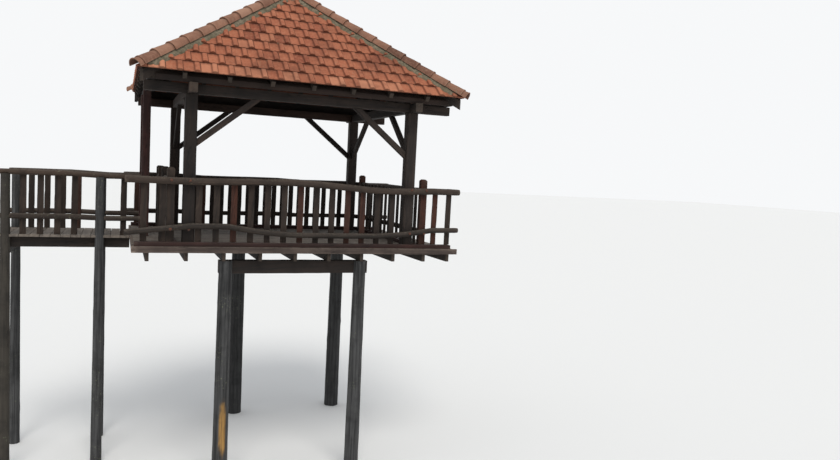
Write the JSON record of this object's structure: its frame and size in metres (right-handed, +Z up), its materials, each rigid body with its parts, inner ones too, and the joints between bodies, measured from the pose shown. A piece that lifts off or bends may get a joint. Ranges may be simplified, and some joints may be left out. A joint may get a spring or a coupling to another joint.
{
  "type": "tree house",
  "caption": "Open riverside tree house on tall log stilts, with a hipped clay tile roof, log railings and a walkway.",
  "frame": {"origin": "centre of the whole part's plan at ground level, under the stilts", "axes": "+Z up, -Y out of the front over the river, -X along the walkway"},
  "size_m": [6.765, 4.1438, 7.84],
  "materials": {
    "dark_timber": "rough",
    "grey_boards": "worn",
    "red_timber": "worn",
    "peeled_log": "rough",
    "clay_tile": "matte",
    "clay_cap": "matte",
    "mortar": "rough"
  },
  "bodies": {
    "root": {"stilt_front_left": "peeled_log", "stilt_front_right": "peeled_log", "stilt_back_left": "peeled_log", "stilt_back_right": "peeled_log", "cross_beam_front": "dark_timber", "cross_beam_back": "dark_timber", "deck_joists": "dark_timber", "deck_floor": "grey_boards", "edge_boards_long": "grey_boards", "edge_boards_short": "grey_boards", "columns": "dark_timber", "tie_beams_long": "dark_timber", "tie_beams_short": "dark_timber", "knee_braces": "dark_timber", "king_post": "dark_timber", "hip_rafters": "dark_timber", "eave_purlins_long": "dark_timber", "eave_purlins_short": "dark_timber", "rafters": "dark_timber", "tile_battens": "dark_timber", "tiles_front": "clay_tile", "tiles_right": "clay_tile", "tiles_back": "clay_tile", "tiles_left": "clay_tile", "hip_caps_front_left": "clay_cap", "hip_caps_front_right": "clay_cap", "hip_caps_back_left": "clay_cap", "hip_caps_back_right": "clay_cap", "mortar_beds": "mortar", "apex_cap": "clay_cap", "newel_posts": "red_timber", "entry_posts": "red_timber", "sills": "red_timber", "balusters_front": "dark_timber", "balusters_back": "dark_timber", "balusters_right": "dark_timber", "balusters_left": "dark_timber", "top_rails": "peeled_log", "low_rails": "peeled_log", "walkway_floor": "grey_boards", "walkway_bearers": "dark_timber", "walkway_crosspieces": "dark_timber", "walkway_balusters": "dark_timber", "walkway_stilts": "peeled_log", "walkway_top_rails": "peeled_log", "walkway_low_rails": "peeled_log"}
  },
  "joints": []
}
